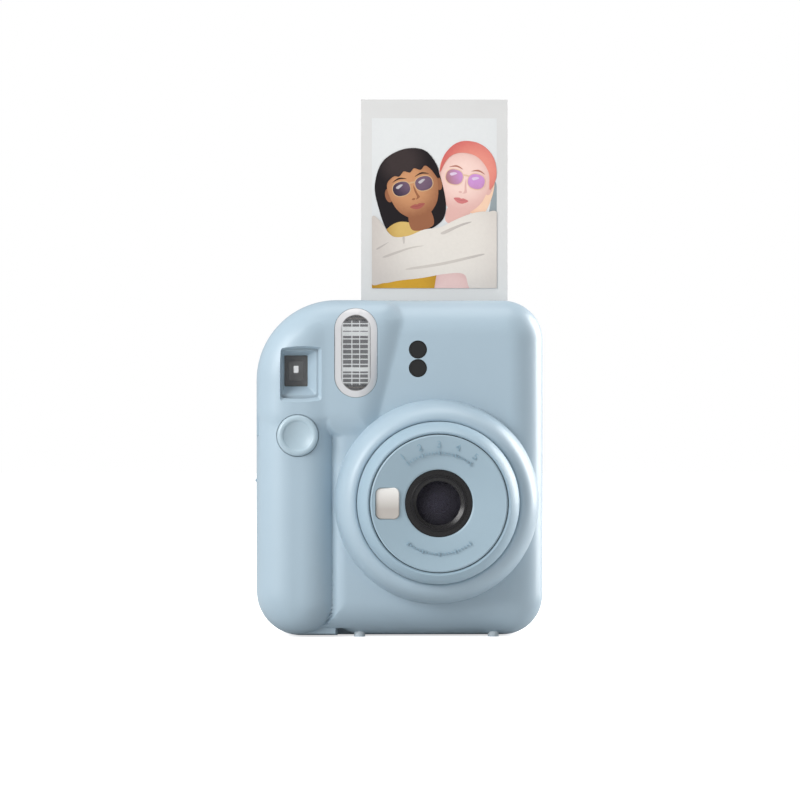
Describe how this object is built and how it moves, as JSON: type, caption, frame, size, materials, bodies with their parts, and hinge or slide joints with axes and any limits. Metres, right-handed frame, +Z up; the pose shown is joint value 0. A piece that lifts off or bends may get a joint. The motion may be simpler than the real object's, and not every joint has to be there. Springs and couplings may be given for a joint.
{
  "type": "instant camera",
  "caption": "Pocket instant film camera with a twist-out lens, flash, finder, shutter button, film and battery doors, and a developed print in its slot.",
  "frame": {"origin": "under the middle of the body, on the plane that the feet stand on", "axes": "+Z up; the lens looks along -Y; +X is to the right when the camera is seen from the front"},
  "size_m": [0.1046, 0.0666, 0.1965],
  "materials": {
    "shell": "satin pastel blue moulded plastic",
    "ring": "satin pastel blue moulded plastic",
    "disc": "fine matt pastel blue plastic",
    "button": "satin pastel blue plastic",
    "black_plastic": "matt black plastic",
    "gloss_black": "glossy dark window",
    "clear": "clear moulded window",
    "optic": "coated optical element",
    "amber_window": "tinted film-check window",
    "mirror": "polished convex mirror",
    "reflector": "bright reflector",
    "steel": "spring steel and pins",
    "screw": "plated screw",
    "foot_rubber": "soft pad",
    "felt": "black felt",
    "board": "circuit board",
    "cell": "battery jacket",
    "contact": "plated contact",
    "capacitor": "sleeved can",
    "motor": "motor can",
    "roller": "grip roller",
    "gear": "acetal gear",
    "pack": "film cassette",
    "paper": "coated print sheet"
  },
  "bodies": {
    "camera": {"front_cover": "shell", "rear_cover": "shell", "strap_bars": "steel", "case_screws": "screw", "feet": "foot_rubber", "slot_seal": "felt", "door_hinge_pins": "steel", "battery_holder": "black_plastic", "batteries": "cell", "battery_contacts": "contact", "main_board": "board", "finder_front_window": "clear", "finder_tunnel": "black_plastic", "finder_eyepiece": "clear", "flash_window": "clear", "flash_reflector": "reflector", "flash_tube": "clear", "flash_board": "board", "flash_capacitor": "capacitor", "sensor_windows": "gloss_black", "sensor_board": "board", "button_spring": "steel", "button_board": "board", "lens_base_ring": "black_plastic", "light_cone": "black_plastic", "film_chamber": "black_plastic", "film_pack": "pack", "film_sheets": "paper", "roller_bracket": "steel", "drive_motor": "motor", "counter_window": "clear"},
    "film_door": {"film_door": "shell", "pack_window": "amber_window", "pressure_springs": "steel"},
    "door_latch": {"door_latch": "button"},
    "battery_door": {"battery_door": "shell"},
    "shutter_button": {"shutter_button": "button"},
    "twist_ring": {"lens_ring": "ring"},
    "barrel": {"lens_barrel": "disc", "selfie_mirror": "mirror", "lens_bezel": "black_plastic", "front_lens": "optic", "lens_retainer": "black_plastic", "shutter_plate": "black_plastic", "shutter_solenoid": "steel", "rear_lens_cell": "black_plastic", "rear_lens": "optic"},
    "blade_left": {"shutter_blade_left": "steel"},
    "blade_right": {"shutter_blade_right": "steel"},
    "drive_roller": {"drive_roller": "roller", "drive_gear": "gear"},
    "pressure_roller": {"pressure_roller": "roller", "pressure_gear": "gear"},
    "idler_gear": {"idler_gear": "gear"},
    "motor_pinion": {"motor_pinion": "gear"},
    "counter_wheel": {"counter_wheel": "gear"},
    "film_claw": {"film_claw": "steel"},
    "print": {"print": "paper"}
  },
  "joints": [
    {"name": "lens_twist", "type": "hinge", "parent": "camera", "child": "twist_ring", "pos_m": [0.0131, 0, 0.0491], "axis": [0, 1, 0], "range_deg": [0, 75]},
    {"name": "barrel_slide", "type": "slide", "parent": "camera", "child": "barrel", "axis": [0, -1, 0], "range_m": [0, 0.008]},
    {"name": "blade_left_swing", "type": "hinge", "parent": "barrel", "child": "blade_left", "pos_m": [0.0031, 0, 0.0491], "axis": [0, -1, 0], "range_deg": [0, 60]},
    {"name": "blade_right_swing", "type": "hinge", "parent": "barrel", "child": "blade_right", "pos_m": [0.0231, 0, 0.0491], "axis": [0, -1, 0], "range_deg": [-60, 0]},
    {"name": "shutter_press", "type": "slide", "parent": "camera", "child": "shutter_button", "axis": [0, 1, 0], "range_m": [0, 0.0015], "stiffness_N_per_m": 700, "deforming": ["button_spring"]},
    {"name": "film_door_swing", "type": "hinge", "parent": "camera", "child": "film_door", "pos_m": [0.0496, 0.0313, 0.059], "axis": [0, 0, -1], "range_deg": [0, 105]},
    {"name": "door_latch_slide", "type": "slide", "parent": "camera", "child": "door_latch", "axis": [0, 0, 1], "range_m": [0, 0.004]},
    {"name": "battery_door_swing", "type": "hinge", "parent": "camera", "child": "battery_door", "pos_m": [-0.051, 0.0135, 0.019], "axis": [0, -1, 0], "range_deg": [0, 90]},
    {"name": "drive_roller_spin", "type": "hinge", "parent": "camera", "child": "drive_roller", "pos_m": [0.0131, 0.0157, 0.106], "axis": [1, 0, 0], "continuous": true},
    {"name": "pressure_roller_spin", "type": "hinge", "parent": "camera", "child": "pressure_roller", "pos_m": [0.0131, 0.0238, 0.106], "axis": [1, 0, 0], "continuous": true},
    {"name": "idler_spin", "type": "hinge", "parent": "camera", "child": "idler_gear", "pos_m": [0.047, 0.00825, 0.10281], "axis": [1, 0, 0], "continuous": true},
    {"name": "motor_spin", "type": "hinge", "parent": "camera", "child": "motor_pinion", "pos_m": [0.047, 0.002, 0.104], "axis": [1, 0, 0], "continuous": true},
    {"name": "counter_turn", "type": "hinge", "parent": "camera", "child": "counter_wheel", "pos_m": [-0.036, 0.028, 0.079], "axis": [0, 1, 0], "range_deg": [0, 330]},
    {"name": "film_claw_slide", "type": "slide", "parent": "camera", "child": "film_claw", "axis": [0, 0, 1], "range_m": [0, 0.008]},
    {"name": "print_slide", "type": "slide", "parent": "camera", "child": "print", "axis": [0, 0, 1], "range_m": [-0.099, 0.012]}
  ],
  "couplings": [
    {"joint": "barrel_slide", "follows": "lens_twist", "m_per_rad": 0.0061},
    {"joint": "blade_right_swing", "follows": "blade_left_swing", "ratio": -1},
    {"joint": "pressure_roller_spin", "follows": "drive_roller_spin", "ratio": -1},
    {"joint": "idler_spin", "follows": "drive_roller_spin", "ratio": -1},
    {"joint": "motor_spin", "follows": "drive_roller_spin", "ratio": 1.75}
  ]
}
